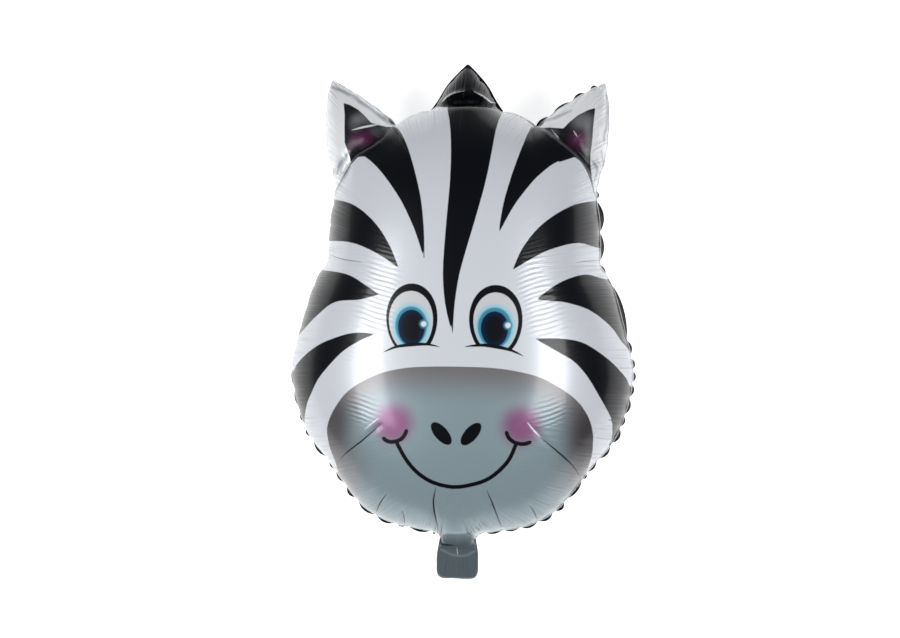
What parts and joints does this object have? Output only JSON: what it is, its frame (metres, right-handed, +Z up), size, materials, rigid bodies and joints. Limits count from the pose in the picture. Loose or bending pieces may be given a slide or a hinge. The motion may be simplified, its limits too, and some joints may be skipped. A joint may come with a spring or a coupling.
{
  "type": "zebra head foil balloon",
  "caption": "Sealed foil balloon shaped as a zebra's head, with ears, a mane tuft, a gathered welded seam and a filling tail, lying face up on its back.",
  "frame": {"origin": "on the ground, under the middle of the balloon's box", "axes": "+X to the viewer's right, +Y from the chin to the mane, +Z up out of the printed face"},
  "size_m": [0.401, 0.5986, 0.2202],
  "materials": {
    "printed_film": "glossy metallised film, printed with pearl white, black stripes and a blue grey muzzle"
  },
  "bodies": {
    "root": {"foil_balloon": "printed_film"}
  },
  "joints": []
}
